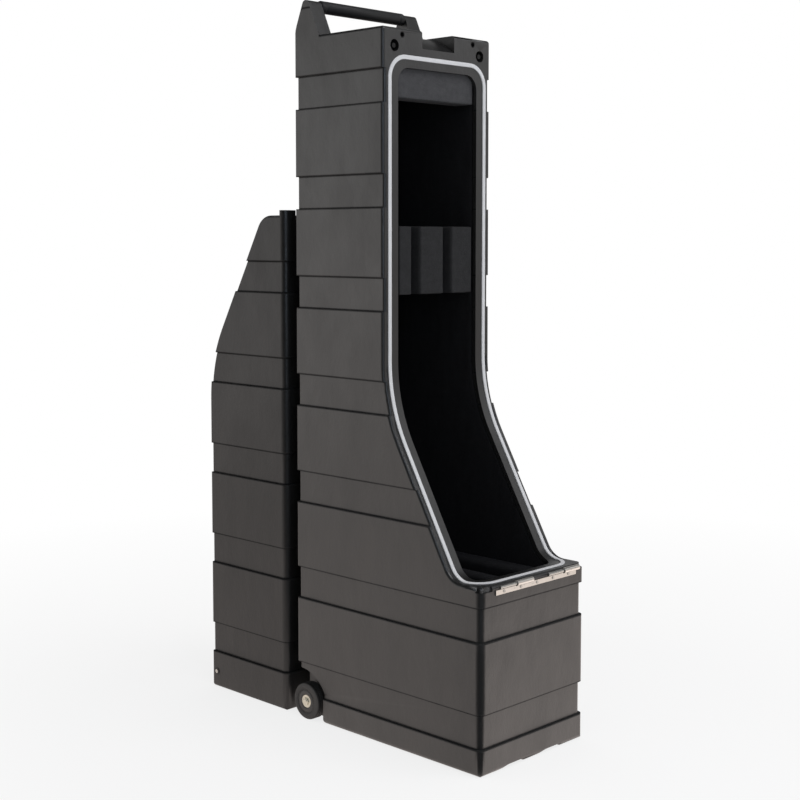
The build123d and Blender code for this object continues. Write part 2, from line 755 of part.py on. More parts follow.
def bracket():
    # Channel that holds the pivot, open outwards, with a screwed foot behind the flange
    x0 = HOOK_X - HOOK_EYE_D / 2 - BRACKET_WEB_GAP
    x1 = HOOK_X + HOOK_EYE_D / 2 + BRACKET_OUT - BRACKET_WEB_GAP
    y0 = PIVOT_Y - BRACKET_TAIL
    gap = HOOK_T / 2 + BRACKET_PLAY
    high = gap + BRACKET_T
    channel = box(x0 - BRACKET_T, x1, y0, LID_FLANGE_Y, LATCH_Z - high, LATCH_Z + high)
    inside = box(x0, x1 + 1, y0 - 1, LID_FLANGE_Y + 1, LATCH_Z - gap, LATCH_Z + gap)
    foot = box(x0 - BRACKET_T, HOOK_X + FOOT_X1, LID_FLANGE_Y - BRACKET_T, LID_FLANGE_Y,
               LATCH_Z - FOOT_HALF_Z, LATCH_Z + FOOT_HALF_Z)
    play = HOOK_T / 2 + SLOT_PLAY
    window = box(x0, HOOK_X + FOOT_X1 - BRACKET_T, LID_FLANGE_Y - BRACKET_T - 1, LID_FLANGE_Y + 1,
                 LATCH_Z - play, LATCH_Z + play)
    way = rod_x(HOOK_X, HALF, BUTTON_Y, LATCH_Z, BUTTON_D + 2 * BUTTON_WAY)
    return channel - inside + foot - window - way - pivot() - latch_screws()


def pivot():
    high = 2 * (HOOK_T / 2 + BRACKET_PLAY + BRACKET_T)
    return Pos(HOOK_X, PIVOT_Y, LATCH_Z) * Cylinder(PIVOT_D / 2, high)


def latch_screws():
    screws = []
    for z in (LATCH_Z - FOOT_SCREW_Z, LATCH_Z + FOOT_SCREW_Z):
        face = RIM_Y - SEAM
        head = rod_y(face - SCREW_HEAD_T * 2, face, HOOK_X, z, SCREW_HEAD_D)
        screws.append(head + rod_y(face - FOOT_SCREW_LEN, face, HOOK_X, z, SCREW_D))
    return screws


def button():
    tip = HOOK_X + HOOK_BAR / 2 + BUTTON_TIP_GAP
    stem = rod_x(tip, HALF + BUTTON_PROUD, BUTTON_Y, LATCH_Z, BUTTON_D)
    stop = HALF - WALL - BUTTON_TIP_GAP
    return stem + rod_x(stop - BUTTON_COLLAR_T, stop, BUTTON_Y, LATCH_Z, BUTTON_COLLAR_D)


def button_bush():
    sleeve = rod_x(HALF - WALL, HALF, BUTTON_Y, LATCH_Z, BUSH_D)
    flange = rod_x(HALF, HALF + BUSH_FLANGE_T, BUTTON_Y, LATCH_Z, BUSH_FLANGE_D)
    return sleeve + flange - rod_x(0, WIDTH, BUTTON_Y, LATCH_Z, BUTTON_D + 2 * BUTTON_RUN)


def park(shape):
    # The lid and its parts stand behind the case, turned over about the front-to-back direction
    return Pos(0, LID_SHIFT, HEIGHT) * Rot(0, 180, 0) * shape


def main():
    os.makedirs("parts", exist_ok=True)
    save("case_shell", build_case_shell())
    save("rim_gasket", rim_gasket())
    save("handle_grip", handle_grip())
    save("handle_rod", handle_rod())
    save("back_foam", back_foam())
    save("right_side_foam", side_foam())
    save("left_side_foam", mirrored(side_foam()))
    save("header_foam", header_foam())
    save("neck_cradle", neck_cradle())
    save("body_cradle", body_cradle())
    save("case_hinge_leaf", hinge_half(-1, case_knuckles(), HINGE_PIN_D))
    save("hinge_pins", Compound(children=hinge_pins()))
    save("case_hinge_screws", Compound(children=hinge_screws(-1)))
    save("striker_studs", pair(striker_stud(LATCH_X)))
    save("dowel_bushes", pair(dowel_bush(DOWEL_X)))
    save("axle", axle())
    save("wheel_spacers", pair(spacer()))
    save("wheel_washers", pair(washer()))
    save("axle_nuts", pair(axle_nut()))
    save("right_tyre", tyre())
    save("right_hub", hub())
    save("left_tyre", mirrored(tyre()))
    save("left_hub", mirrored(hub()))
    save("lid_shell", park(lid_shell()))
    save("lid_front_foam", park(lid_front_foam()))
    save("lid_left_foam", park(lid_side_foam()))
    save("lid_right_foam", park(mirrored(lid_side_foam())))
    save("lid_header_pad", park(lid_block(FLANGE_T, HEADER_Z0, FOAM_TOP)))
    cradle_top = CRADLE_Z0 + CRADLE_HEIGHT
    save("lid_neck_pad", park(lid_block(CRADLE_SETBACK, CRADLE_Z0, cradle_top)))
    save("lid_body_pad", park(lid_body_pad()))
    lid_bore = HINGE_PIN_D + 2 * HINGE_PIN_CLEAR
    save("lid_hinge_leaf", park(hinge_half(1, lid_knuckles(), lid_bore)))
    save("lid_hinge_screws", park(Compound(children=hinge_screws(1))))
    save("lid_dowels", park(pair(dowel(DOWEL_X))))
    save("latch_brackets", park(pair(bracket())))
    save("latch_screws", park(Compound(children=latch_screws() + [mirrored(k) for k in latch_screws()])))
    save("latch_pivots", park(pair(pivot())))
    save("button_bushes", park(pair(button_bush())))
    save("left_latch_hook", park(hook()))
    save("right_latch_hook", park(mirrored(hook())))
    save("left_latch_button", park(button()))
    save("right_latch_button", park(mirrored(button())))


main()
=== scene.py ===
import math

import bmesh
import bpy
from bpy.props import FloatProperty, FloatVectorProperty, IntProperty, PointerProperty
from mathutils import Matrix, Vector, noise


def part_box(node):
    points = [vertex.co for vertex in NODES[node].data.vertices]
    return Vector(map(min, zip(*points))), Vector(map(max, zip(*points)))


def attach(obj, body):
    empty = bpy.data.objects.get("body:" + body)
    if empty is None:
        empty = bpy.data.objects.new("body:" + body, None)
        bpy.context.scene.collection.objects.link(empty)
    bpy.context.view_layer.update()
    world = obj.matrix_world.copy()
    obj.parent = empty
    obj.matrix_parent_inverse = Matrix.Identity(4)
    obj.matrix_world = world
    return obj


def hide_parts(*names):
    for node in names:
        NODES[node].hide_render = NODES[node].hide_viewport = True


bl_info = {
    "name": "Double Guitar Case",
    "version": (1, 0, 0),
    "blender": (4, 5, 0),
    "location": "View3D > Sidebar > Guitar Case",
    "description": "Dresses a roto-moulded double guitar case and its lifted-off lid",
    "category": "Object",
}

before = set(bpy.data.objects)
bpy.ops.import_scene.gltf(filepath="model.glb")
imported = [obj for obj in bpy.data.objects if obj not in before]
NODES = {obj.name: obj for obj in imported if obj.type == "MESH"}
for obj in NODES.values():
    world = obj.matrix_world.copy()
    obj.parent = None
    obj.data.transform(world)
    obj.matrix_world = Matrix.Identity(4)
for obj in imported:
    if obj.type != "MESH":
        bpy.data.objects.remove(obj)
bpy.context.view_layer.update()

# Sizes in metres that no slider changes
GASKET_TO_TOP = 0.048
CASE_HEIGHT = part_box("rim_gasket")[1][2] + GASKET_TO_TOP
ROD_BORE = 0.00505
WELD_DISTANCE = 2e-5
NUT_RADIUS = 0.0074
NUT_THICKNESS = 0.0022
NUT_EDGE = 0.0003
DOME_RADIUS = 0.0055
DOME_BASE = 0.0020

# Angles in degrees
FLAT_WITHIN = 1.0
SHELL_SHARP_FROM = 32.0
GASKET_SHARP_FROM = 50.0

# The camera stands where the photograph was taken from
CAMERA_PLACE = (-1.97038, -1.83389, 0.94421)
CAMERA_PITCH = 90.0 - 4.105
CAMERA_TURN = -45.534
CAMERA_LENS = 63.707
CAMERA_SENSOR = 36.0
CAMERA_SHIFT = -0.075
VIEW_DEPTH = 100.0

# Each lamp: name, place, aim, width and height, power in watts, colour
LAMPS = (
    ("window_light", (-2.55, 2.75, 1.15), (0.0, 0.1, 0.75), (2.8, 2.3), 9.0, (1.0, 0.99, 0.98)),
    ("front_light", (0.6, -2.1, 3.8), (0.0, 0.0, 0.6), (2.2, 1.8), 46.0, (0.98, 0.98, 1.0)),
    ("wall_light", (2.5, -2.1, 2.2), (0.0, 0.0, 0.8), (1.8, 1.0), 3.8, (0.99, 0.98, 1.0)),
    ("strip_light", (-1.55, -2.75, 1.60), (0.0, 0.0, 1.1), (0.26, 1.8), 13.0, (0.72, 0.84, 1.0)),
)
FLOOR_HALF = 40.0
FILL_LEVEL = 0.62
WHITE = (1.0, 1.0, 1.0)


class Signal:
    """A shader socket that takes part in plain arithmetic."""

    def __init__(self, finish, out):
        self.finish = finish
        self.out = out

    def calc(self, operation, first, second=None):
        values = [first] if second is None else [first, second]
        return self.finish.node("ShaderNodeMath", {"operation": operation}, values)

    def __add__(self, other):
        return self.calc("ADD", self, other)

    __radd__ = __add__

    def __sub__(self, other):
        return self.calc("SUBTRACT", self, other)

    def __rsub__(self, other):
        return self.calc("SUBTRACT", other, self)

    def __mul__(self, other):
        return self.calc("MULTIPLY", self, other)

    __rmul__ = __mul__

    def __truediv__(self, other):
        return self.calc("DIVIDE", self, other)

    def __lt__(self, other):
        return self.calc("LESS_THAN", self, other)

    def __gt__(self, other):
        return self.calc("GREATER_THAN", self, other)

    def __abs__(self):
        return self.calc("ABSOLUTE", self)

    def wrap(self, period):
        return self.calc("FLOORED_MODULO", self, period)

    def most(self, other):
        return self.calc("MAXIMUM", self, other)

    def least(self, other):
        return self.calc("MINIMUM", self, other)

    def clamp(self):
        return self.most(0.0).least(1.0)

    def above(self, start, slope):
        """How far the signal lies above start, times slope, from 0 to 1."""
        return ((self - start) * slope).clamp()

    def rise(self, start, end):
        """0 up to start, 1 from end on, and rising evenly in between."""
        return ((self - start) / (end - start)).clamp()


class Finish:
    """One material, or the world, and the nodes that make it."""

    def __init__(self, name, world=False):
        self.made = (bpy.data.worlds if world else bpy.data.materials).new(name)
        self.made.use_nodes = True
        self.tree = self.made.node_tree
        self.tree.nodes.clear()
        end, start, place = "ShaderNodeOutputMaterial", "ShaderNodeBsdfPrincipled", "Object"
        if world:
            end, start, place = "ShaderNodeOutputWorld", "ShaderNodeBackground", "Generated"
        self.output = self.tree.nodes.new(end)
        self.shader = self.tree.nodes.new(start)
        self.tree.links.new(self.shader.outputs[0], self.output.inputs["Surface"])
        self.place = self.node("ShaderNodeTexCoord", {}, {}, place)

    def node(self, kind, settings, values, out=0):
        """Adds a node: settings first, then socket values or links; gives one of its outputs."""
        made = self.tree.nodes.new(kind)
        for name, value in settings.items():
            setattr(made, name, value)
        pairs = values.items() if isinstance(values, dict) else enumerate(values)
        for key, value in pairs:
            self.feed(made.inputs[key], value)
        return Signal(self, made.outputs[out])

    def feed(self, socket, value):
        """Links a signal to a socket, or sets the socket's own value."""
        if isinstance(value, Signal):
            self.tree.links.new(value.out, socket)
        elif isinstance(value, (tuple, list)) and len(value) == 3 and socket.type == "RGBA":
            socket.default_value = (*value, 1.0)
        else:
            socket.default_value = value

    def set(self, **values):
        """Feeds the shader's sockets, named with underscores for spaces."""
        for key, value in values.items():
            self.feed(self.shader.inputs[key.replace("_", " ")], value)

    def mix_in(self, other, share):
        """Mixes another shader into the finish's own, by a share from 0 to 1."""
        own = Signal(self, self.shader.outputs[0])
        both = self.node("ShaderNodeMixShader", {}, [share, own, other])
        self.feed(self.output.inputs["Surface"], both)

    def noise(self, scale, detail, rough=0.5, stretch=None):
        """Cloudy noise from about 0 to 1; stretch squeezes it along the axes."""
        spot = self.place
        if stretch:
            spot = self.node("ShaderNodeMapping", {}, {"Vector": spot, "Scale": stretch})
        values = {"Vector": spot, "Scale": scale, "Detail": detail, "Roughness": rough}
        return self.node("ShaderNodeTexNoise", {}, values)

    def cells(self, scale):
        """Distance to the nearest of many scattered points."""
        values = {"Vector": self.place, "Scale": scale}
        return self.node("ShaderNodeTexVoronoi", {"feature": "F1"}, values, "Distance")

    def axis(self, vector, letter):
        return self.node("ShaderNodeSeparateXYZ", {}, [vector], letter)

    def facing(self):
        return self.node("ShaderNodeNewGeometry", {}, {}, "Normal")

    def mix_colours(self, how, mask, first, second):
        """Mix node for colours: sockets 0, 6 and 7 are its factor and colours, output 2 its result."""
        settings = {"data_type": "RGBA", "blend_type": how}
        return self.node("ShaderNodeMix", settings, {0: mask, 6: first, 7: second}, 2)

    def blend(self, mask, first, second):
        return self.mix_colours("MIX", mask, first, second)

    def tint(self, color, amount):
        """The colour times a value signal."""
        grey = self.node("ShaderNodeCombineColor", {}, [amount, amount, amount])
        return self.mix_colours("MULTIPLY", 1.0, color, grey)

    def bump(self, height, depth, strength, under=None):
        """A normal from a height signal, on top of the normal under it."""
        values = {"Height": height, "Distance": depth, "Strength": strength}
        if under is not None:
            values["Normal"] = under
        return self.node("ShaderNodeBump", {}, values)


def colour(name, text, value):
    return FloatVectorProperty(name=name, description=text, subtype="COLOR", size=3,
                               min=0.0, max=1.0, default=value)


def length(name, text, value):
    return FloatProperty(name=name, description=text, subtype="DISTANCE", unit="LENGTH",
                         min=0.0, default=value)


class CaseFinishes(bpy.types.PropertyGroup):
    """Colours of the case's finishes."""
    shell: colour("Shell", "Moulded polyethylene of case and lid", (0.0086, 0.0084, 0.0083))
    gasket: colour("Gasket", "Sponge rubber in the rim", (0.65, 0.65, 0.66))
    plush: colour("Plush", "Black plush of the linings", (0.008, 0.008, 0.009))
    foam: colour("Foam", "Cut grey foam of the cradles", (0.052, 0.052, 0.055))
    grip: colour("Grip", "Rubber sleeve of the handle", (0.012, 0.012, 0.013))
    # The tyre's darker tread is painted shade.
    tyre: colour("Tyre", "Dusty sides of the tyres; their tread is darker", (0.050, 0.047, 0.045))
    hub: colour("Hub", "Nylon wheel hub", (0.050, 0.047, 0.045))
    steel: colour("Plated steel", "Screws, rods, dowels and latch parts", (0.58, 0.57, 0.54))
    cream: colour("Yellow zinc", "Washers and cap nuts of the wheels", (0.78, 0.75, 0.64))
    strip: colour("Hinge strip", "Bright plated hinge halves", (0.79, 0.76, 0.71))
    blackened: colour("Black steel", "Brackets, bushes and studs", (0.018, 0.018, 0.018))
    worn: colour("Worn steel", "Rubbed spots of the black steel", (0.16, 0.155, 0.15))
    nylon: colour("Black nylon", "Wheel spacers and bushes of the buttons", (0.014, 0.014, 0.014))


class CaseSizes(bpy.types.PropertyGroup):
    """Sizes of the dressing that the frame doesn't fix."""
    band_first: length("First band", "Height of the lowest recessed band", 0.048)
    band_recess: length("Recess", "Height of a recessed band", 0.062)
    band_pitch: length("Band pitch", "Step from band to band", 0.1905)
    # The crease line is painted shade along a band's edge.
    crease: length("Crease", "Half width of the dark line along a band's edge", 0.0028)
    plush_voxel: length("Plush mesh", "Mesh size of the lining foams", 0.006)
    foam_voxel: length("Foam mesh", "Mesh size of the cut foam blocks", 0.003)
    plush_wave: length("Plush wave", "Depth of the hand-laid plush's waves", 0.0012)
    foam_wave: length("Foam wave", "Depth of the cut foam's waves", 0.00036)
    gasket_round: length("Gasket edge", "Rounding of the gasket's edges", 0.0012)
    tyre_shoulder: length("Tyre shoulder", "Rounding of a tyre's edges", 0.004)
    tread_groove: length("Tread groove", "Depth of the grooves in a tyre", 0.0012)
    groove_mouth: length("Groove mouth", "Half width of a tyre's groove at the tread", 0.0012)
    groove_floor: length("Groove floor", "Half width of a tyre's groove at its floor", 0.0008)
    flange_step: length("Flange height", "Height above which the case's front is flange", 0.3375)
    ring_steps: IntProperty(name="Turn steps", description="Steps of a turned piece",
                            default=72, min=16)


def finishes():
    """The colours set in the sidebar."""
    return bpy.context.scene.case_finishes


def sizes():
    """The sizes set in the sidebar."""
    return bpy.context.scene.case_sizes


def band_crease_shade(f, upside_down, flange_faces_back):
    """1 on the painted shade lines along the band edges and 0 elsewhere, with none on the flange."""
    s = sizes()
    z = f.axis(f.place, "Z")
    y_face = f.axis(f.facing(), "Y")
    if upside_down:
        z = CASE_HEIGHT - z
    level = (z - s.band_first).wrap(s.band_pitch)
    near = abs(level).least(abs(level - s.band_pitch)).least(abs(level - s.band_recess))
    painted_crease = (1.0 - near / s.crease).clamp()
    if flange_faces_back:
        return painted_crease * (1.0 - (y_face > 0.4))
    return painted_crease * (1.0 - (y_face < -0.4) * (z > s.flange_step))


def moulded_plastic(name, gloss, upside_down, flange_faces_back):
    """Roto-moulded polyethylene: pebbled skin, faint clouding, scuffs and painted shade along the band
    edges.
    """
    f = Finish(name)
    painted_crease = band_crease_shade(f, upside_down, flange_faces_back)
    cloud = f.noise(7.0, detail=4.0, rough=0.6)
    smear = f.noise(16.0, detail=5.0, rough=0.62, stretch=(1.0, 1.0, 0.55))
    grain = f.noise(900.0, detail=2.0, rough=0.6)
    pebble = f.noise(260.0, detail=3.0, rough=0.55)
    scuff = f.noise(38.0, detail=6.0, rough=0.72, stretch=(1.0, 1.0, 5.0))
    rubbed = scuff.above(0.66, slope=8.0)
    shade = 0.90 + cloud * 0.16 + (grain - 0.5) * 0.10
    # Painted shade: the base colour is darkened along the band edges.
    shade = shade * (1.0 - painted_crease * 0.80) + rubbed * 0.10
    relief = pebble * 0.7 + grain * 0.3 - painted_crease * 1.2
    dull = 0.20 + cloud * 0.12 + smear * 0.26
    skin = f.bump(relief, depth=0.00036, strength=0.55)
    f.set(Base_Color=f.tint(tuple(finishes().shell), shade),
          Roughness=dull - rubbed * 0.05 + painted_crease * 0.60,
          Normal=f.bump(smear, depth=0.0040, strength=0.40, under=skin),
          Specular_IOR_Level=gloss)
    return f.made


def sponge_rubber():
    """Closed-cell sponge rubber: small pores and a soft sheen."""
    f = Finish("sponge_rubber")
    pores = f.cells(1400.0)
    patch = f.noise(60.0, detail=3.0)
    shade = 0.92 + patch * 0.12 - (0.35 - pores).most(0.0) * 0.5
    f.set(Base_Color=f.tint(tuple(finishes().gasket), shade), Roughness=0.72 + patch * 0.1,
          Normal=f.bump(pores, depth=0.0003, strength=0.5))
    return f.made


def plush_cloth():
    """Short black plush: pile clumps with brushed streaks and a faint sheen."""
    f = Finish("plush_cloth")
    pile = f.noise(1500.0, detail=3.0, rough=0.7)
    clump = f.noise(190.0, detail=4.0, rough=0.65)
    brushed = f.noise(26.0, detail=3.0, rough=0.6, stretch=(1.0, 2.2, 0.5))
    shade = 0.55 + pile * 0.5 + clump * 0.35 + (brushed - 0.5) * 0.8
    relief = pile * 0.5 + clump * 0.8 + brushed * 0.6
    f.set(Base_Color=f.tint(tuple(finishes().plush), shade.most(0.1)),
          Roughness=0.92 + pile * 0.08, Normal=f.bump(relief, depth=0.0012, strength=0.8),
          Sheen_Weight=0.25, Sheen_Roughness=0.45, Sheen_Tint=(0.10, 0.10, 0.11),
          Specular_IOR_Level=0.15)
    return f.made


def cut_foam(name, depth):
    """Knife-cut foam: cut-open cells, clumps and slight drag marks; depth scales its tone, and the
    darker copy is painted shade.
    """
    f = Finish(name)
    cell = f.cells(620.0)
    fine = f.cells(1500.0)
    drag = f.noise(30.0, detail=4.0, rough=0.6, stretch=(0.4, 0.4, 6.0))
    clump = f.noise(80.0, detail=3.0, rough=0.6)
    shade = 0.72 + cell * 0.35 + fine * 0.15 + (drag - 0.5) * 0.22 + (clump - 0.5) * 0.6
    relief = cell * 0.7 + fine * 0.3 + drag * 0.5
    f.set(Base_Color=f.tint(tuple(finishes().foam), shade * depth),
          Roughness=0.88 + drag * 0.1, Normal=f.bump(relief, depth=0.0009, strength=0.7),
          Specular_IOR_Level=0.25)
    return f.made


def soft_rubber(name, color, rough, painted_tread_shade):
    """Moulded rubber with a bloom; a tyre's tread is darkened by painted shade, so its sides look
    paler.
    """
    f = Finish(name)
    bloom = f.noise(45.0, detail=5.0, rough=0.65)
    grain = f.noise(1100.0, detail=2.0, rough=0.6)
    relief = grain * 0.6 + bloom * 0.4
    shade = 0.8 + bloom * 0.4 + (grain - 0.5) * 0.15
    if painted_tread_shade:
        # Painted shade: faces that don't point sideways, the tread, are darkened.
        side = abs(f.axis(f.facing(), "X")) > 0.68
        shade = shade * (0.16 + side * 0.84)
    f.set(Base_Color=f.tint(color, shade), Roughness=rough + bloom * 0.14,
          Normal=f.bump(relief, depth=0.0004, strength=0.6))
    return f.made


def moulded_nylon(name, color):
    """Injection-moulded nylon with fine grain and flow clouding."""
    f = Finish(name)
    flow = f.noise(80.0, detail=4.0, rough=0.6)
    grain = f.noise(1600.0, detail=2.0, rough=0.5)
    f.set(Base_Color=f.tint(color, 0.85 + flow * 0.3), Roughness=0.40 + flow * 0.15,
          Normal=f.bump(grain * 0.6 + flow * 0.4, depth=0.0002, strength=0.5))
    return f.made


def plated_steel(name, color, rough, drawn_along=(1.0, 1.0, 1.0)):
    """Zinc-plated steel: drawn lines along one way, cloudy plating, small stains."""
    f = Finish(name)
    drawn = f.noise(420.0, detail=4.0, rough=0.65, stretch=drawn_along)
    plate = f.noise(55.0, detail=5.0, rough=0.6)
    stain = f.noise(140.0, detail=4.0, rough=0.6).above(0.62, slope=6.0)
    shade = 0.86 + plate * 0.2 + (drawn - 0.5) * 0.16 - stain * 0.25
    f.set(Base_Color=f.tint(color, shade), Metallic=1.0 - stain * 0.35,
          Roughness=rough + plate * 0.14 + (drawn - 0.5) * 0.12 + stain * 0.2,
          Normal=f.bump(drawn * 0.6 + plate * 0.4, depth=0.00012, strength=0.6))
    return f.made


def black_oxide():
    """Blackened steel with an oily, slightly worn skin."""
    f = Finish("black_oxide")
    oil = f.noise(90.0, detail=4.0, rough=0.6)
    worn = f.noise(320.0, detail=5.0, rough=0.7).above(0.63, slope=7.0)
    base = f.blend(worn, tuple(finishes().blackened), tuple(finishes().worn))
    f.set(Base_Color=base, Metallic=0.55 + worn * 0.4, Roughness=0.36 + oil * 0.18,
          Normal=f.bump(oil, depth=0.00015, strength=0.5))
    return f.made


def dress(material, *names):
    """Gives CAD nodes their finish, without touching their meshes."""
    for name in names:
        slots = NODES[name].data.materials
        slots.clear()
        slots.append(material)


def piece(name, mesh, material, body, slot, *nodes):
    """Links a finished mesh as an object at the origin that rides on a body."""
    made = bpy.data.objects.new(name, mesh)
    bpy.context.scene.collection.objects.link(made)
    mesh.materials.clear()
    mesh.materials.append(material)
    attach(made, body)
    if nodes:
        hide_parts(*nodes)
    return made


def to_mesh(bm, name, smooth=True):
    """Ends a bmesh as a mesh that is shaded smooth or flat."""
    mesh = bpy.data.meshes.new(name)
    for face in bm.faces:
        face.smooth = smooth
    bm.to_mesh(mesh)
    bm.free()
    return mesh


def merged_copy(node):
    """A welded copy of a CAD node's mesh, flat parts joined into whole faces."""
    bm = bmesh.new()
    bm.from_mesh(NODES[node].data)
    bmesh.ops.remove_doubles(bm, verts=bm.verts, dist=WELD_DISTANCE)
    bmesh.ops.dissolve_limit(bm, angle_limit=math.radians(FLAT_WITHIN), verts=bm.verts,
                             edges=bm.edges)
    bmesh.ops.recalc_face_normals(bm, faces=bm.faces)
    return bm


def sharp_edges(bm, degrees):
    """The edges between two faces that meet at more than an angle."""
    return [edge for edge in bm.edges
            if len(edge.link_faces) == 2 and edge.calc_face_angle(0.0) > math.radians(degrees)]


def soften(bm, edges, radius):
    """Rounds edges in two steps."""
    bmesh.ops.bevel(bm, geom=edges, offset=radius, offset_type="OFFSET", affect="EDGES",
                    segments=2, profile=0.5, material=-1, clamp_overlap=True)


def voxel_mesh(bm, name, voxel):
    """Even quads over a closed shape, from a voxel remesh."""
    start = to_mesh(bm, name + "_start")
    holder = bpy.data.objects.new(name + "_start", start)
    bpy.context.scene.collection.objects.link(holder)
    step = holder.modifiers.new("even", "REMESH")
    step.mode = "VOXEL"
    step.voxel_size = voxel
    bpy.context.view_layer.update()
    depsgraph = bpy.context.evaluated_depsgraph_get()
    made = bpy.data.meshes.new_from_object(holder.evaluated_get(depsgraph))
    bpy.data.objects.remove(holder)
    bpy.data.meshes.remove(start)
    made.name = name
    return made


def sink_unevenly(bm, wave):
    """Moves the surface in by up to the wave's depth, by a broad and a fine ripple."""
    bm.normal_update()
    for vert in bm.verts:
        ripple = noise.noise(vert.co * 9.0) * 0.6 + noise.noise(vert.co * 31.0) * 0.4
        vert.co -= vert.normal * wave * (0.55 + 0.45 * ripple)


def foam_piece(name, node, material, body, slot, voxel, wave, rounds):
    """A foam block with softened edges and a slightly uneven, hand-laid surface."""
    mesh = voxel_mesh(merged_copy(node), name, voxel)
    bm = bmesh.new()
    bm.from_mesh(mesh)
    for _ in range(rounds):
        bmesh.ops.smooth_vert(bm, verts=bm.verts, factor=0.5, use_axis_x=True,
                              use_axis_y=True, use_axis_z=True)
    sink_unevenly(bm, wave)
    for face in bm.faces:
        face.smooth = True
    bm.to_mesh(mesh)
    bm.free()
    piece(name, mesh, material, body, slot, node)


def turned(points, steps, y, z):
    """A closed profile of (x, radius) turned once round an axis along X."""
    bm = bmesh.new()
    verts = [bm.verts.new((x, y, z + r)) for x, r in points]
    edges = [bm.edges.new((a, b)) for a, b in zip(verts, verts[1:] + verts[:1])]
    bmesh.ops.spin(bm, geom=verts + edges, cent=(0.0, y, z), axis=(1.0, 0.0, 0.0),
                   dvec=(0.0, 0.0, 0.0), angle=math.tau, steps=steps, use_merge=True)
    bmesh.ops.remove_doubles(bm, verts=bm.verts, dist=1e-6)
    bmesh.ops.recalc_face_normals(bm, faces=bm.faces)
    return bm


def flip_x(bm):
    """Turns a shape for the right side into its mirror image for the left side."""
    bmesh.ops.scale(bm, vec=(-1.0, 1.0, 1.0), verts=bm.verts)
    bmesh.ops.recalc_face_normals(bm, faces=bm.faces)
    return bm


def middle(node):
    """The centre of a node's box."""
    low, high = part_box(node)
    return [(a + b) / 2 for a, b in zip(low, high)]


def shell_piece(name, node, material, body):
    """A welded shell whose flats stay flat and whose rounded edges shade smoothly."""
    mesh = to_mesh(merged_copy(node), name)
    mesh.set_sharp_from_angle(angle=math.radians(SHELL_SHARP_FROM))
    made = piece(name, mesh, material, body, "shell", node)
    made.modifiers.new("even_normals", "WEIGHTED_NORMAL").keep_sharp = True


class GUITARCASE_OT_shells(bpy.types.Operator):
    """Finishes the moulded shells of the case and the lid"""
    bl_idname = "guitarcase.shells"
    bl_label = "Moulded shells"

    def execute(self, context):
        case = moulded_plastic("case_plastic", 1.0, upside_down=False, flange_faces_back=False)
        shell_piece("case_moulding", "case_shell", case, "case")
        lid = moulded_plastic("lid_plastic", 0.62, upside_down=True, flange_faces_back=True)
        shell_piece("lid_moulding", "lid_shell", lid, "lid")
        return {"FINISHED"}


class GUITARCASE_OT_gasket(bpy.types.Operator):
    """Lays the sponge gasket in the rim groove"""
    bl_idname = "guitarcase.gasket"
    bl_label = "Rim gasket"

    def execute(self, context):
        bm = merged_copy("rim_gasket")
        soften(bm, sharp_edges(bm, GASKET_SHARP_FROM), sizes().gasket_round)
        mesh = to_mesh(bm, "gasket_cord", smooth=False)
        piece("gasket_strip", mesh, sponge_rubber(), "case", "gasket", "rim_gasket")
        return {"FINISHED"}


class GUITARCASE_OT_linings(bpy.types.Operator):
    """Covers the walls of case and lid with black plush over foam"""
    bl_idname = "guitarcase.linings"
    bl_label = "Plush linings"

    def execute(self, context):
        s = sizes()
        plush = plush_cloth()
        jobs = [("back_lining", "back_foam", "case"), ("left_lining", "left_side_foam", "case"),
                ("right_lining", "right_side_foam", "case"), ("body_bed", "body_cradle", "case"),
                ("lid_front_lining", "lid_front_foam", "lid"),
                ("lid_left_lining", "lid_left_foam", "lid"),
                ("lid_right_lining", "lid_right_foam", "lid"),
                ("lid_body_cushion", "lid_body_pad", "lid")]
        for name, node, body in jobs:
            foam_piece(name, node, plush, body, "lining", s.plush_voxel, s.plush_wave,
                       rounds=3)
        return {"FINISHED"}


class GUITARCASE_OT_cradles(bpy.types.Operator):
    """Cuts the grey foam blocks and the slotted cradles"""
    bl_idname = "guitarcase.cradles"
    bl_label = "Foam cradles"

    def execute(self, context):
        s = sizes()
        # The dark copy at 0.45 is the same grey foam with painted shade, for the neck blocks.
        grey, dark = cut_foam("cut_foam", 1.1), cut_foam("painted_shade_foam", 0.45)
        jobs = [("neck_rest", "neck_cradle", "case", dark),
                ("header_block", "header_foam", "case", grey),
                ("lid_neck_block", "lid_neck_pad", "lid", dark),
                ("lid_header_block", "lid_header_pad", "lid", grey)]
        for name, node, body, foam in jobs:
            foam_piece(name, node, foam, body, "grey_foam", s.foam_voxel, s.foam_wave,
                       rounds=1)
        return {"FINISHED"}


class GUITARCASE_OT_handle(bpy.types.Operator):
    """Turns the rubber sleeve of the handle"""
    bl_idname = "guitarcase.handle"
    bl_label = "Handle"

    def execute(self, context):
        low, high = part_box("handle_grip")
        _, y, z = middle("handle_grip")
        half, radius = high[0], (high[2] - low[2]) / 2
        ring_floor = radius - 0.0008
        side = [(half - 0.0004, ROD_BORE + 0.001), (half, radius - 0.003),
                (half - 0.001, radius - 0.001), (half - 0.003, radius),
                (half - 0.012, radius), (half - 0.0128, ring_floor),
                (half - 0.0142, ring_floor), (half - 0.015, radius)]
        bore = [(-half + 0.001, ROD_BORE), (half - 0.001, ROD_BORE)]
        outline = side + [(-x, r) for x, r in reversed(side)] + bore
        mesh = to_mesh(turned(outline, sizes().ring_steps, y, z), "grip_sleeve")
        rubber = soft_rubber("grip_rubber", tuple(finishes().grip), 0.50, painted_tread_shade=False)
        piece("grip_sleeve", mesh, rubber, "case", "grip", "handle_grip")
        return {"FINISHED"}


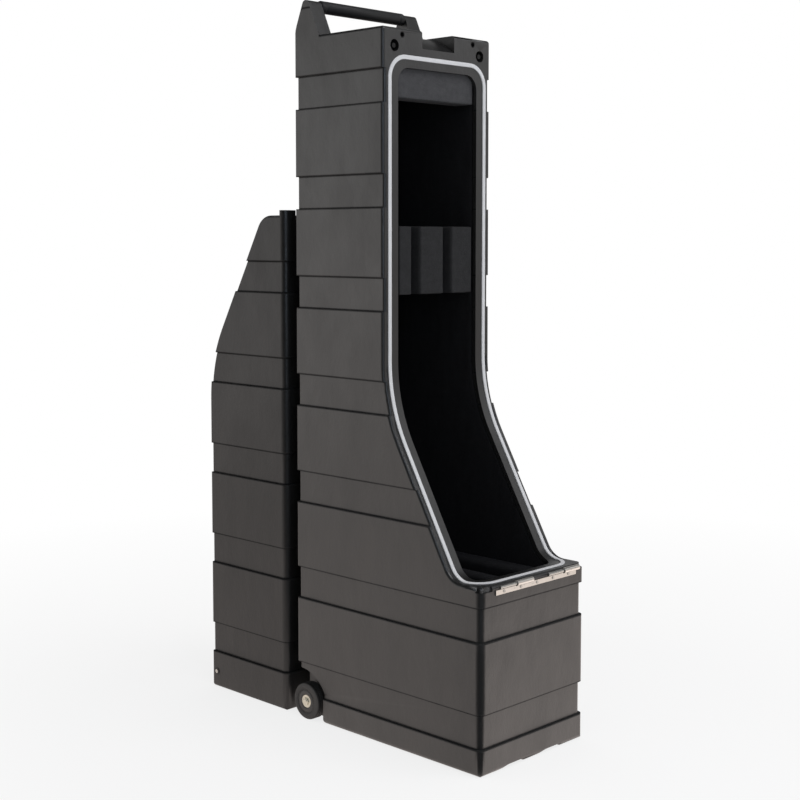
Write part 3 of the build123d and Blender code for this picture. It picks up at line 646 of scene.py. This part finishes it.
class GUITARCASE_OT_wheels(bpy.types.Operator):
    """Turns the grooved tyres and the hubs and fits the cap nuts"""
    bl_idname = "guitarcase.wheels"
    bl_label = "Wheels"

    def execute(self, context):
        s = sizes()
        _, y, z = middle("right_tyre")
        tyre, hub = self.tyre_outline(s), self.hub_outline()
        rubber = soft_rubber("tyre_rubber", tuple(finishes().tyre), 0.62, painted_tread_shade=True)
        plastic = moulded_nylon("hub_nylon", tuple(finishes().hub))
        for side in ("right", "left"):
            ring = turned(tyre, s.ring_steps, y, z)
            disc = turned(hub, s.ring_steps, y, z)
            if side == "left":
                ring, disc = flip_x(ring), flip_x(disc)
            name = side + "_tyre_ring"
            piece(name, to_mesh(ring, name), rubber, side + "_wheel", "tyre", side + "_tyre")
            name = side + "_hub_disc"
            piece(name, to_mesh(disc, name), plastic, side + "_wheel", "hub", side + "_hub")
        self.cap_nuts(y, z)
        return {"FINISHED"}

    def tyre_outline(self, s):
        """Half section of the right tyre: rounded shoulders and three grooves in the tread."""
        low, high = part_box("right_tyre")
        hub_low, hub_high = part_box("right_hub")
        inner, outer = low[0], high[0]
        big, small = (high[2] - low[2]) / 2, (hub_high[2] - hub_low[2]) / 2
        shoulder = s.tyre_shoulder
        curve = [(shoulder * (1 - math.cos(a)), big - shoulder * (1 - math.sin(a)))
                 for a in (0.4, 0.8, 1.2, 1.57)]
        tread = [(inner, small), (inner, big - shoulder)] + [(inner + x, r) for x, r in curve]
        for share in (0.32, 0.50, 0.68):
            spot, floor = inner + (outer - inner) * share, big - s.tread_groove
            tread += [(spot - s.groove_mouth, big), (spot - s.groove_floor, floor),
                      (spot + s.groove_floor, floor), (spot + s.groove_mouth, big)]
        tread += [(outer - x, r) for x, r in reversed(curve)]
        return tread + [(outer, big - shoulder), (outer, small)]

    def hub_outline(self):
        """Half section of the right hub: hollow inside, almost flush outside, with a washer seat."""
        low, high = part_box("right_hub")
        washer_low, washer_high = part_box("wheel_washers")
        small, flush = (high[2] - low[2]) / 2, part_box("right_tyre")[1][0] - 0.0003
        back, hollow, face = low[0], low[0] + 0.002, high[0]
        seat = (washer_high[2] - washer_low[2]) / 2 + 0.0008
        return [(back, ROD_BORE), (back, ROD_BORE + 0.004), (hollow, ROD_BORE + 0.005),
                (hollow, small - 0.004), (back, small - 0.002), (back, small),
                (flush, small), (flush, seat + 0.001), (flush - 0.0006, seat),
                (face, seat), (face, ROD_BORE)]

    def cap_nuts(self, y, z):
        """A hexagon and a dome on each washer, both nuts in one piece."""
        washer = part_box("wheel_washers")[1][0]
        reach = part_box("axle_nuts")[1][0]
        bm = bmesh.new()
        turn = Matrix.Rotation(math.radians(90.0), 4, "Y")
        for sign in (1.0, -1.0):
            spot = Matrix.Translation((sign * (washer + NUT_THICKNESS / 2), y, z))
            hexagon = bmesh.ops.create_cone(bm, cap_ends=True, segments=6, radius1=NUT_RADIUS,
                                            radius2=NUT_RADIUS, depth=NUT_THICKNESS,
                                            matrix=spot @ turn)
            soften(bm, list({e for v in hexagon["verts"] for e in v.link_edges}), NUT_EDGE)
            base = sign * (washer + DOME_BASE)
            dome = bmesh.ops.create_uvsphere(bm, u_segments=28, v_segments=14,
                                             radius=DOME_RADIUS,
                                             matrix=Matrix.Translation((base, y, z)) @ turn)
            squeeze = (reach - washer - DOME_BASE) / DOME_RADIUS
            bmesh.ops.scale(bm, vec=(squeeze, 1.0, 1.0), verts=dome["verts"],
                            space=Matrix.Translation((-base, 0.0, 0.0)))
        metal = plated_steel("nut_steel", tuple(finishes().cream), 0.44)
        dress(metal, "wheel_washers")
        mesh = to_mesh(bm, "cap_nut_pair", smooth=False)
        piece("cap_nut_pair", mesh, metal, "case", "steel", "axle_nuts")


class GUITARCASE_OT_hardware(bpy.types.Operator):
    """Finishes the hinge halves, latches, dowels and small steel parts"""
    bl_idname = "guitarcase.hardware"
    bl_label = "Hinge and latch hardware"

    def execute(self, context):
        c = finishes()
        strip = plated_steel("strip_steel", tuple(c.strip), 0.30, drawn_along=(0.05, 1.0, 1.0))
        steel = plated_steel("plain_steel", tuple(c.steel), 0.28)
        dress(strip, "case_hinge_leaf", "lid_hinge_leaf")
        dress(steel, "hinge_pins", "case_hinge_screws", "lid_hinge_screws", "handle_rod", "axle",
              "lid_dowels", "latch_screws", "latch_pivots",
              "left_latch_hook", "right_latch_hook", "left_latch_button", "right_latch_button")
        dress(black_oxide(), "dowel_bushes", "latch_brackets", "striker_studs")
        dress(moulded_nylon("black_nylon", tuple(c.nylon)), "wheel_spacers", "button_bushes")
        return {"FINISHED"}


class GUITARCASE_OT_stage(bpy.types.Operator):
    """Sets the pale floor, the soft lights and the camera"""
    bl_idname = "guitarcase.stage"
    bl_label = "Stage"

    def execute(self, context):
        scene = bpy.context.scene
        bm = bmesh.new()
        bmesh.ops.create_grid(bm, x_segments=1, y_segments=1, size=FLOOR_HALF)
        floor = bpy.data.objects.new("floor", to_mesh(bm, "floor"))
        scene.collection.objects.link(floor)
        floor.data.materials.append(self.pale_floor())
        scene.world = self.sky()
        for row in LAMPS:
            self.lamp(*row)
        self.camera(scene)
        scene.view_settings.view_transform = "Standard"
        return {"FINISHED"}

    def camera(self, scene):
        eye = bpy.data.cameras.new("camera")
        camera = bpy.data.objects.new("camera", eye)
        scene.collection.objects.link(camera)
        eye.sensor_width = CAMERA_SENSOR
        eye.lens = CAMERA_LENS
        eye.shift_y = CAMERA_SHIFT
        eye.clip_end = VIEW_DEPTH
        camera.location = CAMERA_PLACE
        camera.rotation_euler = (math.radians(CAMERA_PITCH), 0.0, math.radians(CAMERA_TURN))
        scene.camera = camera

    def lamp(self, name, place, aim, size, power, tone):
        """A soft rectangular lamp that the camera doesn't see."""
        data = bpy.data.lights.new(name, "AREA")
        data.shape = "RECTANGLE"
        data.size, data.size_y = size
        data.energy = power
        data.color = tone
        lamp = bpy.data.objects.new(name, data)
        bpy.context.scene.collection.objects.link(lamp)
        lamp.location = place
        lamp.rotation_euler = (Vector(aim) - Vector(place)).to_track_quat("-Z", "Y").to_euler()
        lamp.visible_camera = False

    def pale_floor(self):
        """White floor: white to the eye away from the case, and with its soft shadow near it."""
        f = Finish("pale_floor")
        cloud = f.noise(1.5, detail=2.0)
        f.set(Base_Color=f.tint((0.86, 0.86, 0.86), 0.99 + cloud * 0.02), Roughness=0.85)
        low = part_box("case_shell")[0]
        x = f.axis(f.place, "X") - low[0]
        y = f.axis(f.place, "Y") - low[1]
        far = f.node("ShaderNodeVectorMath", {"operation": "LENGTH"}, [f.place], "Value")
        far = far.most(0.05)
        reach = f.node("ShaderNodeMath", {"operation": "SQRT"}, [x * x + y * y + 0.0001])
        near = 1.0 - far.rise(1.3, 2.5)
        mirrored = self.studio_sides(x / reach, y / reach, window=0.64 + near * 0.20,
                                     wall=0.36 + near * 1.02)
        eye, glossy = self.who_looks(f)
        tone = f.blend(eye, f.tint((1.0, 0.90, 0.85), mirrored), WHITE)
        glow = f.node("ShaderNodeEmission", {}, {"Color": tone})
        f.mix_in(glow, eye * (0.78 + far.rise(0.7, 2.3) * 0.22) + glossy * 0.95)
        return f.made

    def sky(self):
        """White studio: white to the eye; mirrored, it has a bright window and wall side."""
        f = Finish("studio", world=True)
        x, y, z = (f.axis(f.place, letter) for letter in "XYZ")
        low = (1.12 - abs(z) * 1.7).clamp()
        mirrored = self.studio_sides(x, y, window=0.57, wall=0.50 + z) * low
        eye, glossy = self.who_looks(f)
        level = eye + (1.0 - eye) * (glossy * mirrored + (1.0 - glossy) * FILL_LEVEL)
        f.set(Color=WHITE, Strength=level)
        return f.made

    def studio_sides(self, x, y, window, wall):
        """Mirrored brightness in direction (x, y): window side, wall side and an unlit corner."""
        across = ((y - x) * 0.99 - 0.10).clamp()
        unlit = ((0.0 - x - y * 1.3) * 1.45 - 0.52).clamp()
        return 0.01 + (wall + (window - wall) * across) * (1.0 - unlit)

    def who_looks(self, f):
        """Masks for rays from the eye or through glass, and for mirrored rays."""
        eye = f.node("ShaderNodeLightPath", {}, {}, "Is Camera Ray")
        eye = eye.most(f.node("ShaderNodeLightPath", {}, {}, "Is Transmission Ray"))
        return eye, f.node("ShaderNodeLightPath", {}, {}, "Is Glossy Ray")


STEPS = (GUITARCASE_OT_shells, GUITARCASE_OT_gasket, GUITARCASE_OT_linings,
         GUITARCASE_OT_cradles, GUITARCASE_OT_handle, GUITARCASE_OT_wheels,
         GUITARCASE_OT_hardware, GUITARCASE_OT_stage)


class GUITARCASE_PT_panel(bpy.types.Panel):
    """Lists the steps that dress the case"""
    bl_idname = "GUITARCASE_PT_panel"
    bl_label = "Guitar Case"
    bl_space_type = "VIEW_3D"
    bl_region_type = "UI"
    bl_category = "Guitar Case"

    def draw(self, context):
        for step in STEPS:
            self.layout.operator(step.bl_idname)
        for group in (context.scene.case_sizes, context.scene.case_finishes):
            for name in group.__annotations__:
                self.layout.prop(group, name)


CLASSES = (CaseFinishes, CaseSizes) + STEPS + (GUITARCASE_PT_panel,)


def register():
    for made in CLASSES:
        bpy.utils.register_class(made)
    bpy.types.Scene.case_finishes = PointerProperty(type=CaseFinishes)
    bpy.types.Scene.case_sizes = PointerProperty(type=CaseSizes)


def unregister():
    del bpy.types.Scene.case_sizes
    del bpy.types.Scene.case_finishes
    for made in reversed(CLASSES):
        bpy.utils.unregister_class(made)


def main():
    register()
    for step in STEPS:
        group, name = step.bl_idname.split(".")
        getattr(getattr(bpy.ops, group), name)()


if __name__ == "__main__":
    main()
